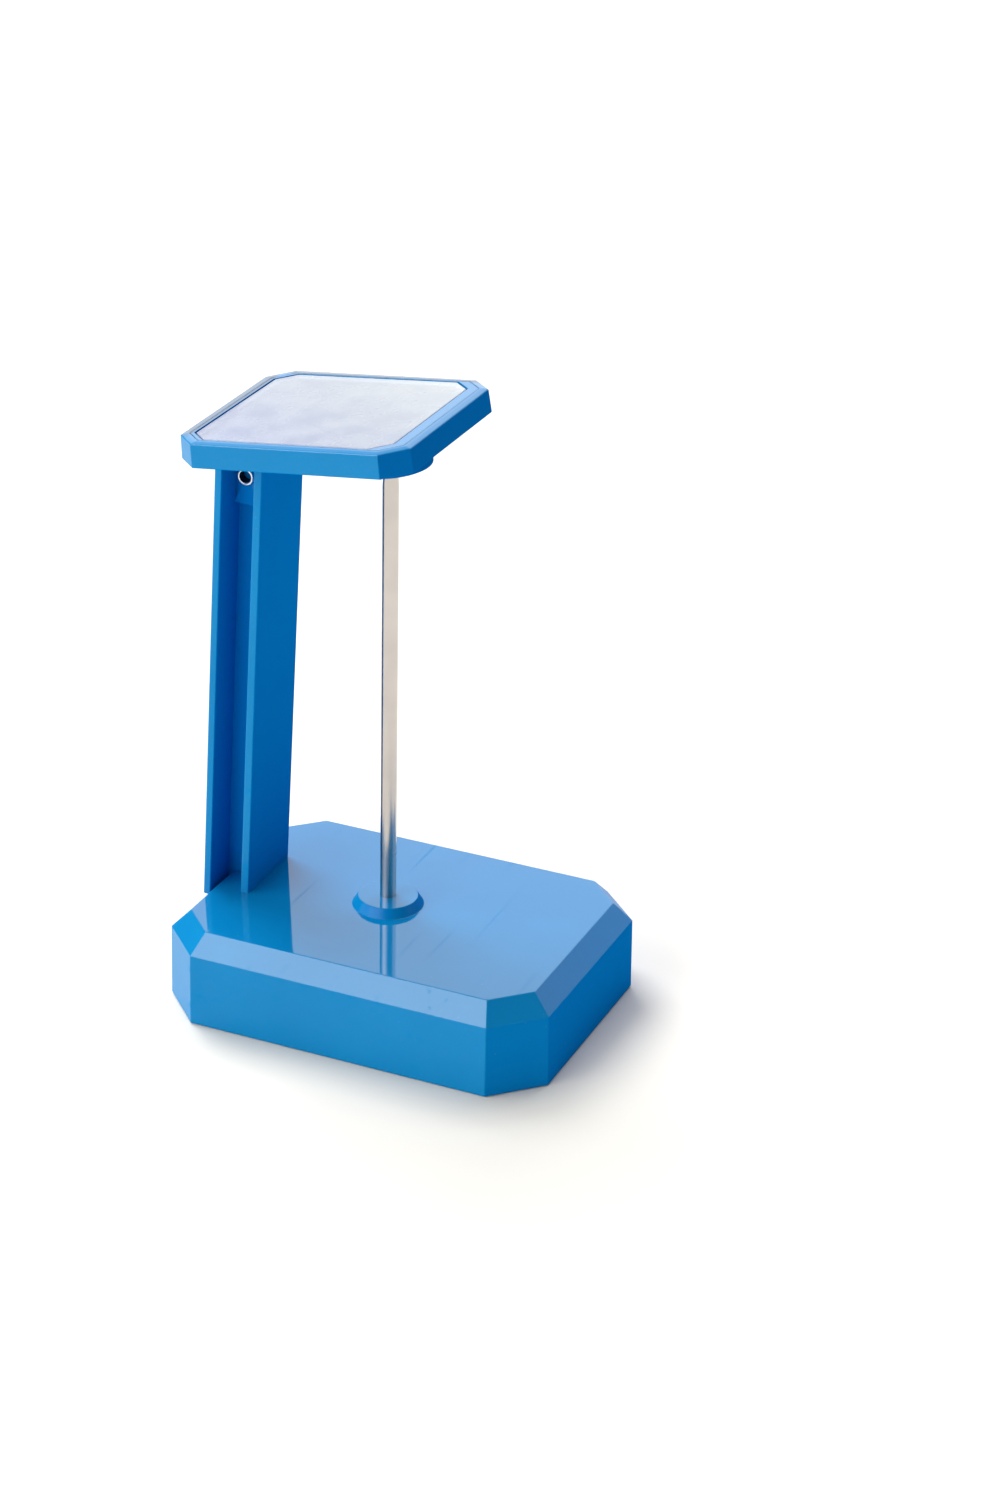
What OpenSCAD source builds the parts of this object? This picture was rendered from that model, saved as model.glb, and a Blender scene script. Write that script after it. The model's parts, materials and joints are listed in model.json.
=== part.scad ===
// Desk memo holder: notes are pushed onto an upright spike, and a hinged head on a post
// covers the point. Millimetres, +Z up, the origin is at the middle of the footprint.
// The spike is vertical. The post leans a little towards it, and the closed head
// rests on the point, so that its right end is the higher one.

/* [Base] */
// Length of the base across its two end walls, at the shoulder under the bevel
base_l = 104; // [96:1:130]
// Width of the base across its front and back walls, at the same shoulder
base_w = 77; // [66:1:100]
// Leg of the 45 degree cut at each corner of the base
base_cut = 11.6; // [8:0.2:16]
// Height of the upright side of the base
base_side = 18.6; // [17:0.2:26]
// Width of the bevel round the top of the base, seen from above
bevel_w = 4.7; // [3:0.1:6]
// Height of the same bevel
bevel_h = 5; // [4:0.1:6]
// How far the side of the base spreads from shoulder to bottom edge
base_draft = 0.25; // [0.1:0.05:0.5]
// Wall of the moulded base
base_wall = 2.4; // [2:0.1:3]

/* [Post] */
// Width of the post, along the base
post_w = 12.5; // [11.5:0.5:15]
// Depth of the post, across the base
post_d = 22.4; // [19:0.2:28]
// Height of the post over the base, measured along the post
post_h = 119.2; // [98:1:148]
// Distance from the shoulder of the base to the outer face of the post
post_inset = 1.2; // [1:0.1:3]
// Lean of the post towards the spike, in degrees
post_lean = 2.6; // [0:0.1:4]
// Wall of the two flanges of the post
flange_t = 1.8; // [1.4:0.1:2.2]
// Web that joins the two flanges
web_t = 2.4; // [1.6:0.1:3]
// How deep the foot of the post sits in the base
post_sink = 12; // [9:0.5:12]

/* [Hinge] */
// Distance of the hinge pin from the top of the post
pin_down = 8.2; // [7.6:0.1:9.6]
// Distance of the pin from the outer face of the post
pin_in = 4.45; // [4.3:0.05:4.7]
// Outer diameter of the hollow rivet
rivet_d = 3.5; // [3:0.1:3.6]
// Bore of the hollow rivet
rivet_bore = 2.9; // [2.2:0.1:2.9]
// Diameter of the rolled lip at each end of the rivet
lip_d = 4.4; // [4.2:0.1:5]
// Thickness of the lug that hangs from the head
lug_t = 3.6; // [3:0.1:4]
// Cheek at each side of the lug
cheek_t = 1.6; // [1.2:0.1:2.2]

/* [Head] */
// Length of the head
head_l = 60.8; // [58:0.2:66]
// Width of the head
head_w = 55.6; // [46:0.2:70]
// Leg of the 45 degree cut at each corner of the head
head_cut = 5.8; // [3:0.2:8]
// Height of the head from bottom edge to rim
head_h = 6.3; // [6.3:0.1:8]
// Small bevel round the rim of the head
head_bevel = 0.8; // [0.3:0.1:1]
// How far the side of the head spreads towards its bottom edge
head_draft = 0.3; // [0.1:0.05:0.4]
// Wall of the moulded head
head_wall = 2; // [1.6:0.1:2.4]
// Tilt of the closed head, right end up, in degrees
head_tilt = 6.8; // [5:0.1:8]
// Gap between the top of the post and the bottom edge of the head
head_gap = 2.3; // [1.4:0.05:2.8]
// How far the head reaches past the pin on the outer side
head_over = 5.9; // [5.5:0.1:6.6]

/* [Label] */
// Rim left of the label window
rim_left = 2.8; // [2.6:0.1:5]
// Rim right of the label window
rim_right = 4.8; // [2.6:0.1:6]
// Rim in front of the label window, and behind it
rim_side = 2.6; // [2.6:0.1:5]
// Corner cut of the label window
label_cut = 4.6; // [3:0.2:6]
// Thickness of the label card
card_t = 0.3; // [0.2:0.05:0.5]
// Thickness of the clear window over the card
window_t = 1.3; // [1:0.1:1.6]
// Small bevel round the top of the window
window_bevel = 0.3; // [0.2:0.05:0.5]
// How far the window stands proud of the rim
window_proud = 0.6; // [0.3:0.05:0.8]
// Floor of the head under the card
head_floor = 1.6; // [1.2:0.1:2]

/* [Spike] */
// Diameter of the spike
spike_d = 4.1; // [3:0.1:5]
// Distance of the spike from the middle of the base, towards the post
spike_off = 4.2; // [2:0.1:6]
// Length of the sharpened point
point_l = 11; // [6:0.5:16]
// Bottom diameter of the raised collar round the spike
collar_d = 18.2; // [14:0.2:22]
// Top diameter of the same collar
collar_top_d = 15.2; // [11:0.2:18]
// Height of the collar
collar_h = 2.4; // [1.5:0.1:4]
// Outer diameter of the guard cup under the head
cup_d = 20.6; // [18:0.2:24]
// Wall of the guard cup
cup_wall = 1.8; // [1.2:0.1:2.2]
// How far the guard cup hangs below the head
cup_drop = 6.8; // [4:0.1:7]
// Thickness of the soft pad inside the cup
pad_t = 3; // [2:0.1:3.4]

/* [Underside] */
// How far the feet stand out below the base
foot_show = 0.8; // [0.5:0.1:1.2]
// Diameter of a foot
foot_d = 9; // [7:0.5:10]
// Thickness of the bottom plate
plate_t = 1.5; // [1.2:0.1:2]
// How far the bottom plate is set up into the base
plate_recess = 0.4; // [0.2:0.1:0.8]
// Length of the iron weight
weight_l = 62; // [50:1:64]
// Width of the iron weight
weight_w = 64; // [50:1:64]
// Height of the iron weight
weight_h = 9; // [6:0.5:10]

/* [Hidden] */
$fn = 96;

// Clearances
seat_gap = 0.1;
slide_gap = 0.2;
turn_gap = 0.05;
drive_gap = 0.02;
tip_gap = 0.3;

// Base heights
base_z = foot_show;
shoulder_z = base_z + base_side;
top_z = shoulder_z + bevel_h;
ceiling_z = top_z - base_wall;
plate_z = base_z + plate_recess;
weight_z = plate_z + plate_t;
weight_top = weight_z + weight_h;

// Post foot and its pocket
post_x = -base_l / 2 + post_inset;
foot_z = top_z - post_sink;
pocket_floor = 2.4;
pocket_wall = 1.8;
heel = 0.08;
pocket_gap = heel + seat_gap;

// Hinge
pin_up = post_h - pin_down;
pin_x = post_x + pin_in * cos(post_lean) + pin_up * sin(post_lean);
pin_z = top_z + pin_up * cos(post_lean) - pin_in * sin(post_lean);
slot_half = lug_t / 2 + slide_gap;
fork_half = slot_half + cheek_t;
slot_under_pin = 6.3;
fork_under_pin = 7.4;
lug_half = 3;

// Head, measured from the pin in the tilted frame of the head
head_x = head_l / 2 - head_over;
head_up = pin_down + head_gap;
head_top = head_up + head_h;
label_l = head_l - rim_left - rim_right;
label_w = head_w - 2 * rim_side;
label_x = head_x + (rim_left - rim_right) / 2;
recess_z = head_top + window_proud - window_t - card_t;
cavity_top = recess_z - head_floor;
rib_t = 1.6;
rib_up = 0.8;
rib_left_x = head_x - 0.2 * head_l;
rib_right_x = head_x + 0.4 * head_l;

// Spike and guard cup. The spike is vertical, and the cup is square to the head
spike_x = -spike_off;
cup_z = head_up - cup_drop;
cup_x = ((spike_x - pin_x) + cup_z * sin(head_tilt)) / cos(head_tilt);
pad_z = cavity_top - pad_t;
tip_z = pin_z + (pad_z + (spike_x - pin_x) * sin(head_tilt)) / cos(head_tilt) - tip_gap;
tip_d = 0.3;
tail_bevel = 0.8;
bush_d = 8;
bush_l = 8;
boss_d = 13;
boss_z = ceiling_z - 10;
washer_d = 9;
washer_t = 0.8;
nut_af = 7;
nut_t = 3.2;
spike_z = boss_z - washer_t - nut_t - 1.2;

// Screws, bosses and feet
screw_d = 2.9;
screw_head_d = 5.4;
screw_head_t = 1;
screw_point_l = 1.5;
screw_slot = 0.8;
plate_screw_l = 10;
post_screw_l = 10;
screw_boss_d = 7;
screw_in_x = 14;
screw_in_y = 12.5;
screw_x = base_l / 2 - screw_in_x;
screw_y = base_w / 2 - screw_in_y;
foot_in_x = 8;
foot_in_y = 19.5;
foot_x = base_l / 2 - foot_in_x;
foot_y = base_w / 2 - foot_in_y;
foot_t = plate_z;
post_screw_y = 5.5;
post_screw_x = post_x + post_w / 2;
press_rib_y = 20;

// Colours
moulded_blue = [0.05, 0.38, 0.66];
bright_steel = [0.78, 0.79, 0.8];
dark_iron = [0.22, 0.22, 0.23];
rubber_black = [0.08, 0.08, 0.08];

// Outline of a rectangle with its four corners cut at 45 degrees
module cut_rectangle(l, w, cut) {
    a = l / 2;
    b = w / 2;
    polygon([
        [-a + cut, -b], [a - cut, -b], [a, -b + cut], [a, b - cut],
        [a - cut, b], [-a + cut, b], [-a, b - cut], [-a, -b + cut]
    ]);
}

// Upright strip of the block below: half width at the shoulder is `half`
module side_profile(half, side, draft, bevel, rise, reach) {
    translate([0, reach, 0])
        rotate([90, 0, 0])
            linear_extrude(2 * reach)
                polygon([
                    [-half - draft, 0], [half + draft, 0], [half, side],
                    [half - bevel, side + rise], [-half + bevel, side + rise], [-half, side]
                ]);
}

// Eight-sided block with spreading sides and a bevel all round its top.
// Four strips, one for each pair of opposite walls, are intersected.
module bevelled_block(l, w, cut, side, draft, bevel, rise) {
    reach = l + w;
    corner = (l / 2 + w / 2 - cut) / sqrt(2);
    intersection() {
        side_profile(l / 2, side, draft, bevel, rise, reach);
        rotate([0, 0, 90])
            side_profile(w / 2, side, draft, bevel, rise, reach);
        rotate([0, 0, 45])
            side_profile(corner, side, draft, bevel, rise, reach);
        rotate([0, 0, -45])
            side_profile(corner, side, draft, bevel, rise, reach);
    }
}

module post_frame() {
    translate([post_x, 0, top_z])
        rotate([0, post_lean, 0])
            children();
}

module head_frame() {
    translate([pin_x, 0, pin_z])
        rotate([0, -head_tilt, 0])
            children();
}

// Cylinder along Y, centred on the XZ origin
module cross_bar(d, l) {
    rotate([90, 0, 0])
        cylinder(h = l, d = d, center = true);
}

module at_corners(x, y) {
    for (sx = [-1, 1], sy = [-1, 1])
        translate([sx * x, sy * y, 0])
            children();
}

// Space inside the base. Its corner cut keeps the wall even at the corners
module base_cavity() {
    inner_cut = base_cut - base_wall * (2 - sqrt(2));
    translate([0, 0, base_z - 0.01])
        bevelled_block(base_l - 2 * base_wall, base_w - 2 * base_wall, inner_cut,
            base_side, base_draft, bevel_w, ceiling_z - shoulder_z + 0.01);
}

module base_shell() {
    color(moulded_blue)
    difference() {
        union() {
            difference() {
                translate([0, 0, base_z])
                    bevelled_block(base_l, base_w, base_cut,
                        base_side, base_draft, bevel_w, bevel_h);
                base_cavity();
            }
            intersection() {
                translate([0, 0, base_z])
                    bevelled_block(base_l, base_w, base_cut,
                        base_side, base_draft, bevel_w, bevel_h);
                union() {
                    // Well that takes the foot of the post
                    translate([-base_l, -post_d / 2 - pocket_gap - pocket_wall,
                            foot_z - seat_gap - pocket_floor])
                        cube([base_l + post_x + post_w + pocket_gap + pocket_wall,
                            post_d + 2 * (pocket_gap + pocket_wall), base_side + bevel_h]);
                    // Boss round the spike bush
                    translate([spike_x, 0, boss_z])
                        cylinder(h = top_z - boss_z - 0.5, d = boss_d);
                    // Bosses for the plate screws
                    at_corners(screw_x, screw_y)
                        translate([0, 0, weight_z])
                            cylinder(h = ceiling_z - weight_z + 0.5, d = screw_boss_d);
                    // Ribs that press on the weight
                    for (side = [-1, 1])
                        translate([-weight_l / 2 + 2, side * press_rib_y - rib_t / 2, weight_top])
                            cube([weight_l - 4, rib_t, ceiling_z - weight_top + 0.5]);
                }
            }
            // Raised collar round the spike
            translate([spike_x, 0, top_z - 0.5])
                cylinder(h = 0.5, d = collar_d);
            translate([spike_x, 0, top_z])
                cylinder(h = collar_h, d1 = collar_d, d2 = collar_top_d);
        }
        // Pocket for the foot of the post
        translate([post_x - pocket_gap, -post_d / 2 - pocket_gap, foot_z - seat_gap])
            cube([post_w + 2 * pocket_gap, post_d + 2 * pocket_gap, post_sink + 1]);
        for (side = [-1, 1])
            translate([post_screw_x, side * post_screw_y, foot_z - 4])
                cylinder(h = 8, d = screw_d + 2 * slide_gap);
        // Spike and bush
        translate([spike_x, 0, boss_z - 1])
            cylinder(h = top_z + collar_h - boss_z + 2, d = spike_d + 2 * turn_gap);
        translate([spike_x, 0, boss_z - 1])
            cylinder(h = bush_l + 1, d = bush_d + 2 * drive_gap);
        // Pilot holes for the plate screws
        at_corners(screw_x, screw_y)
            translate([0, 0, weight_z - 1])
                cylinder(h = plate_screw_l, d = screw_d + 2 * drive_gap);
    }
}

module base_plate() {
    spread = base_draft * (1 - plate_recess / base_side);
    inset = base_wall + slide_gap - spread;
    color(dark_iron)
    difference() {
        translate([0, 0, plate_z])
            linear_extrude(plate_t)
                cut_rectangle(base_l - 2 * inset, base_w - 2 * inset,
                    base_cut - inset * (2 - sqrt(2)));
        at_corners(screw_x, screw_y)
            translate([0, 0, plate_z - 1])
                cylinder(h = plate_t + 2, d = screw_d + 2 * slide_gap);
    }
}

module base_weight() {
    color(dark_iron)
    difference() {
        translate([-weight_l / 2, -weight_w / 2, weight_z])
            cube([weight_l, weight_w, weight_h]);
        translate([spike_x, 0, weight_z - 1])
            cylinder(h = weight_h + 2, d = boss_d + 5);
    }
}

module foot(sx, sy) {
    color(rubber_black)
        translate([sx * foot_x, sy * foot_y, 0]) {
            cylinder(h = foot_t * 0.4, d1 = foot_d - 0.8, d2 = foot_d);
            translate([0, 0, foot_t * 0.4])
                cylinder(h = foot_t * 0.6, d = foot_d);
        }
}

// Round-headed screw: the underside of its head is at z = 0, and its shank points up
module round_screw(l) {
    difference() {
        union() {
            cylinder(h = l - screw_point_l, d = screw_d);
            translate([0, 0, l - screw_point_l])
                cylinder(h = screw_point_l, d1 = screw_d, d2 = screw_d * 0.4);
            translate([0, 0, -screw_head_t])
                cylinder(h = screw_head_t, d1 = screw_head_d * 0.8, d2 = screw_head_d);
        }
        translate([-screw_head_d, -screw_slot / 2, -1.5 * screw_head_t])
            cube([2 * screw_head_d, screw_slot, screw_head_t]);
    }
}

module plate_screws() {
    color(bright_steel)
        at_corners(screw_x, screw_y)
            translate([0, 0, plate_z])
                round_screw(plate_screw_l);
}

module post_screws() {
    color(bright_steel)
        for (side = [-1, 1])
            translate([post_screw_x, side * post_screw_y, foot_z - seat_gap - pocket_floor])
                round_screw(post_screw_l);
}

module post() {
    recess_d = (post_d - web_t) / 2;
    recess_w = post_w - 2 * flange_t;
    color(moulded_blue)
    difference() {
        union() {
            // Foot in the pocket of the base, a hair larger than the post above it
            translate([post_x - heel, -post_d / 2 - heel, foot_z])
                cube([post_w + 2 * heel, post_d + 2 * heel, post_sink]);
            post_frame() {
                difference() {
                    translate([0, -post_d / 2, -1])
                        cube([post_w * cos(post_lean), post_d, post_h + 1]);
                    for (side = [-1, 1])
                        translate([flange_t, side * (web_t / 2 + recess_d / 2 + 0.5), 0])
                            translate([0, -recess_d / 2 - 0.5, -2])
                                cube([recess_w, recess_d + 1, post_h + 4]);
                }
                // Thickened fork round the pin
                translate([flange_t - 0.1, -fork_half, pin_up - fork_under_pin])
                    cube([recess_w + 0.2, 2 * fork_half, fork_under_pin + pin_down]);
            }
        }
        post_frame() {
            // Slot for the lug, open through the outer flange
            translate([-1, -slot_half, pin_up - slot_under_pin])
                cube([1 + flange_t + recess_w, 2 * slot_half, slot_under_pin + pin_down + 1]);
            translate([pin_in, 0, pin_up])
                cross_bar(rivet_d + 2 * drive_gap, post_d);
        }
        for (side = [-1, 1])
            translate([post_screw_x, side * post_screw_y, foot_z - 1])
                cylinder(h = post_screw_l - pocket_floor + 1.2, d = screw_d + 2 * drive_gap);
    }
}

module hinge_rivet() {
    lip_r = (lip_d - rivet_bore) / 4;
    color(bright_steel)
        translate([pin_x, 0, pin_z])
            rotate([90, 0, 0])
                difference() {
                    union() {
                        cylinder(h = 2 * fork_half, d = rivet_d, center = true);
                        for (side = [-1, 1])
                            translate([0, 0, side * (fork_half + lip_r)])
                                rotate_extrude()
                                    translate([(lip_d + rivet_bore) / 4, 0])
                                        circle(r = lip_r, $fn = 32);
                        for (side = [0, 1])
                            mirror([0, 0, side])
                                translate([0, 0, fork_half - 0.01])
                                    cylinder(h = lip_r + 0.01, d = rivet_d - 0.1);
                    }
                    cylinder(h = 4 * fork_half, d = rivet_bore, center = true);
                }
}

module spike() {
    color(bright_steel)
        translate([spike_x, 0, 0]) {
            translate([0, 0, spike_z])
                cylinder(h = tail_bevel, d1 = spike_d - 2 * tail_bevel, d2 = spike_d);
            translate([0, 0, spike_z + tail_bevel])
                cylinder(h = tip_z - point_l - spike_z - tail_bevel, d = spike_d);
            translate([0, 0, tip_z - point_l])
                cylinder(h = point_l, d1 = spike_d, d2 = tip_d);
        }
}

module spike_bush() {
    color([0.72, 0.58, 0.28])
        translate([spike_x, 0, boss_z])
            difference() {
                cylinder(h = bush_l, d = bush_d);
                translate([0, 0, -1])
                    cylinder(h = bush_l + 2, d = spike_d + 2 * drive_gap);
            }
}

module spike_washer() {
    color(bright_steel)
        translate([spike_x, 0, boss_z - washer_t])
            difference() {
                cylinder(h = washer_t, d = washer_d);
                translate([0, 0, -1])
                    cylinder(h = washer_t + 2, d = spike_d + 2 * slide_gap);
            }
}

module spike_nut() {
    color(bright_steel)
        translate([spike_x, 0, boss_z - washer_t - nut_t])
            difference() {
                cylinder(h = nut_t, d = nut_af / cos(30), $fn = 6);
                translate([0, 0, -1])
                    cylinder(h = nut_t + 2, d = spike_d + 2 * drive_gap);
            }
}

// Outline of the label window, grown by `extra` all round
module label_outline(extra) {
    translate([label_x, 0, 0])
        cut_rectangle(label_l + 2 * extra, label_w + 2 * extra,
            label_cut + extra * (2 - sqrt(2)));
}

module head_shell() {
    inner_cut = head_cut - head_wall * (2 - sqrt(2));
    color(moulded_blue)
    head_frame()
    difference() {
        union() {
            difference() {
                translate([head_x, 0, head_up])
                    bevelled_block(head_l, head_w, head_cut,
                        head_h - head_bevel, head_draft, head_bevel, head_bevel);
                translate([head_x, 0, head_up - 1])
                    linear_extrude(cavity_top - head_up + 1)
                        cut_rectangle(head_l - 2 * head_wall, head_w - 2 * head_wall, inner_cut);
            }
            // Lug on the hinge pin
            cross_bar(2 * lug_half, lug_t);
            translate([-lug_half, -lug_t / 2, 0])
                cube([2 * lug_half, lug_t, cavity_top + 0.5]);
            // Long rib from lug to cup, and two cross ribs
            translate([lug_half - 0.5, -rib_t / 2, head_up + rib_up])
                cube([cup_x - lug_half, rib_t, cavity_top - head_up - rib_up + 0.5]);
            for (x = [rib_left_x, rib_right_x])
                translate([x - rib_t / 2, -head_w / 2 + 1, head_up + rib_up])
                    cube([rib_t, head_w - 2, cavity_top - head_up - rib_up + 0.5]);
            // Guard cup over the point of the spike
            translate([cup_x, 0, cup_z])
                cylinder(h = cavity_top - cup_z + 0.5, d = cup_d);
        }
        translate([cup_x, 0, cup_z - 1])
            cylinder(h = cavity_top - cup_z + 1, d = cup_d - 2 * cup_wall);
        translate([0, 0, recess_z])
            linear_extrude(head_h)
                label_outline(0);
        cross_bar(rivet_d + 2 * turn_gap, lug_t + 2);
    }
}

module tip_pad() {
    color(rubber_black)
        head_frame()
            translate([cup_x, 0, pad_z])
                cylinder(h = pad_t, d = cup_d - 2 * cup_wall - 2 * seat_gap);
}

module label_card() {
    color([0.9, 0.91, 0.93])
        head_frame()
            translate([0, 0, recess_z])
                linear_extrude(card_t)
                    label_outline(-2 * seat_gap);
}

module label_window() {
    color([0.8, 0.86, 0.93, 0.4])
        head_frame()
            translate([label_x, 0, recess_z + card_t])
                bevelled_block(label_l - 2 * seat_gap, label_w - 2 * seat_gap,
                    label_cut - seat_gap * (2 - sqrt(2)),
                    window_t - window_bevel, 0, window_bevel, window_bevel);
}

base_shell();
base_plate();
base_weight();
foot(-1, -1);  // foot_front_left
foot(1, -1);  // foot_front_right
foot(-1, 1);  // foot_back_left
foot(1, 1);  // foot_back_right
plate_screws();
post();
post_screws();
hinge_rivet();
spike();
spike_bush();
spike_washer();
spike_nut();
head_shell();
tip_pad();
label_card();
label_window();
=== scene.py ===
import json
import math
import bpy
import numpy as np
from mathutils import Matrix, Vector


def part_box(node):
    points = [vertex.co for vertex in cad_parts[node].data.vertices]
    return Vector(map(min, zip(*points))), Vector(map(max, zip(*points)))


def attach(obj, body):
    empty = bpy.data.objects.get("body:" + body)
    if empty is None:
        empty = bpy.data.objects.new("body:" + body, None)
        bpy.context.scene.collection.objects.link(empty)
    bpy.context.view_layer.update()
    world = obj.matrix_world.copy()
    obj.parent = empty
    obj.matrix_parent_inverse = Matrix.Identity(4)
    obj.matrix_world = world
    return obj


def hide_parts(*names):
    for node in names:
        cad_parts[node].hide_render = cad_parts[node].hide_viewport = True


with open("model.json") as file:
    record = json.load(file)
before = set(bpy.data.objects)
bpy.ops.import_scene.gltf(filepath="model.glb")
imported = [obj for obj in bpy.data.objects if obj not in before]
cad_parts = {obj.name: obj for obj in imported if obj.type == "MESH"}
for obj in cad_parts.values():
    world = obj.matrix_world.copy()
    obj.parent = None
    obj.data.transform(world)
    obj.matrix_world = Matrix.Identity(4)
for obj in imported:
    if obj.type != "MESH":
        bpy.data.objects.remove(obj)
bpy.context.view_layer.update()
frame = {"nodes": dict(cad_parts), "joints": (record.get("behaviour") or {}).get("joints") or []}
mm = 0.001


# Sizes that several pieces share

baseLow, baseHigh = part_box("base_shell")
spikeLow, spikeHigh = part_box("spike")
hinge = next(joint for joint in frame["joints"] if joint["name"] == "head_hinge")
pin = np.array(hinge["pos_m"])

collarHeight = 2.4 * mm
baseTop = baseHigh[2] - collarHeight
spikeX = (spikeLow[0] + spikeHigh[0]) / 2
spikeRadius = (spikeHigh[0] - spikeLow[0]) / 2
postLean = math.radians(2.6)
headTilt = math.radians(6.8)


# Mesh tools

# A shell is its points, its four-sided faces and its end faces. A flat outline is drawn in (u, v), and
# its thickness runs along w until one of these matrices lays it along another axis.
cornerSteps = 6    # points on each rounded corner of an eight-sided ring
thickAlongX = Matrix(((0, 0, 1, 0), (1, 0, 0, 0), (0, 1, 0, 0), (0, 0, 0, 1)))     # to (w, u, v)
thickAlongY = Matrix(((1, 0, 0, 0), (0, 0, -1, 0), (0, 1, 0, 0), (0, 0, 0, 1)))    # to (u, -w, v)


def filletLine(points, radii, steps, closed):
    # Corners of a 2D line become arcs. A corner P turns by phi from direction a to direction b. The arc
    # starts at P - a * r * tan(|phi| / 2), and turns about a centre r to the side by 0 .. phi.
    points = np.asarray(points, float)
    count = points.shape[-2]
    radii = np.broadcast_to(np.asarray(radii, float), points.shape[:-1])
    before = points - np.roll(points, 1, axis=-2)
    after = np.roll(points, -1, axis=-2) - points
    if not closed:
        before[..., 0, :] = after[..., 0, :]
        after[..., -1, :] = before[..., -1, :]
    a = before / np.linalg.norm(before, axis=-1, keepdims=True)
    b = after / np.linalg.norm(after, axis=-1, keepdims=True)
    phi = np.arctan2(a[..., 0] * b[..., 1] - a[..., 1] * b[..., 0], (a * b).sum(-1))
    left = np.stack([-a[..., 1], a[..., 0]], -1)
    side = np.where(phi >= 0, 1.0, -1.0)[..., None]
    start = points - a * (radii * np.tan(np.abs(phi) / 2))[..., None]
    centre = start + left * side * radii[..., None]
    spoke = start - centre
    turn = phi[..., None] * np.linspace(0, 1, steps)
    cosine = np.cos(turn)[..., None]
    sine = np.sin(turn)[..., None]
    crossed = np.stack([-spoke[..., 1], spoke[..., 0]], -1)
    arcs = centre[..., None, :] + spoke[..., None, :] * cosine + crossed[..., None, :] * sine
    return arcs.reshape(points.shape[:-2] + (count * steps, 2))


def octagonRings(halfLength, halfWidth, cut, out, radius):
    # One ring for each entry of out: a rectangle with its corners cut at 45 degrees and then rounded.
    # Pushed out by d, its cut grows by d * (2 - root of 2), so that all eight sides move by d.
    a = halfLength + out
    b = halfWidth + out
    c = cut + out * (2 - math.sqrt(2))
    x = np.stack([c - a, a - c, a, a, a - c, c - a, -a, -a], -1)
    y = np.stack([-b, -b, c - b, b - c, b, b, b - c, c - b], -1)
    return filletLine(np.stack([x, y], -1), radius, cornerSteps, True)


def withHeight(rings, height, shift=0.0):
    # Flat rings get a height each, and all move along X
    placed = np.empty(rings.shape[:2] + (3,))
    placed[..., 0] = rings[..., 0] + shift
    placed[..., 1] = rings[..., 1]
    placed[..., 2] = height[:, None]
    return placed


def tube(rings, loop=False):
    # Faces between neighbouring rings. Each end is one flat face, unless the rings close on themselves.
    m, n = rings.shape[:2]
    ring = np.arange(m if loop else m - 1)[:, None]
    here = np.arange(n)
    following = (here + 1) % n
    lower = ring * n
    upper = (ring + 1) % m * n
    quads = np.stack([lower + here, lower + following, upper + following, upper + here], -1)
    ends = np.stack([here[::-1], here + (m - 1) * n])
    return rings.reshape(-1, 3), quads.reshape(-1, 4), ends[:0] if loop else ends


def lathe(profile, segments, loop=False):
    # A profile of (radius, height) turned about the Z axis
    angle = np.linspace(0, 2 * math.pi, segments, endpoint=False)
    radius = profile[:, :1]
    height = profile[:, 1:] + 0 * angle
    return tube(np.stack([radius * np.cos(angle), radius * np.sin(angle), height], -1), loop)


def softPrism(corners, cornerRadius, low, high, edge, steps=4):
    # An outline with rounded corners, carried from low to high. Near both ends it shrinks by
    # edge * (1 - sin t) while it rises by edge * (1 - cos t), which rounds the edges. The top end is
    # the same upside down.
    t = np.linspace(0, math.pi / 2, steps)
    inset = np.concatenate([edge * (1 - np.sin(t)), edge * (1 - np.cos(t))])
    height = np.concatenate([low + edge * (1 - np.cos(t)), high - edge * (1 - np.sin(t))])
    line = filletLine(corners, cornerRadius, steps, True)
    ahead = np.roll(line, -1, axis=0) - line
    behind = line - np.roll(line, 1, axis=0)
    along = ahead / np.linalg.norm(ahead, axis=-1, keepdims=True)
    along = along + behind / np.linalg.norm(behind, axis=-1, keepdims=True)
    along = along / np.linalg.norm(along, axis=-1, keepdims=True)
    inward = np.stack([-along[:, 1], along[:, 0]], -1)
    return tube(withHeight(line + inset[:, None, None] * inward, height))


def rectangle(left, right, down, up):
    return [(left, down), (right, down), (right, up), (left, up)]


def turned(shell, matrix):
    points, quads, ends = shell
    matrix = np.array(matrix)
    return points @ matrix[:3, :3].T + matrix[:3, 3], quads, ends


def makePiece(name, shells, material, body, nodes):
    points = []
    faces = []
    for shellPoints, quads, ends in shells:
        start = len(points)
        points += shellPoints.tolist()
        faces += (quads + start).tolist() + (ends + start).tolist()
    mesh = bpy.data.meshes.new(name)
    mesh.from_pydata(points, [], faces)
    mesh.validate()
    mesh.update()
    mesh.shade_smooth()
    mesh.materials.append(material)
    piece = bpy.data.objects.new(name, mesh)
    bpy.context.scene.collection.objects.link(piece)
    normals = piece.modifiers.new("flatFaces", "WEIGHTED_NORMAL")
    normals.weight = 100
    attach(piece, body)
    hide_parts(*nodes)
    print(name, len(faces), "faces")


# Camera, at the viewing angle of the photograph

view = {
    "azimuth": math.radians(23.67),
    "elevation": math.radians(26.137),
    "roll": math.radians(1.13),
    "distance": 897.57 * mm,
    "right": 20.718 * mm,
    "up": 39.5 * mm,
    "lens": 85.096,
    "sensorHeight": 36,
    "shiftX": 0.01008,
    "clipStart": 0.05,
    "clipEnd": 30,
}


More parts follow.
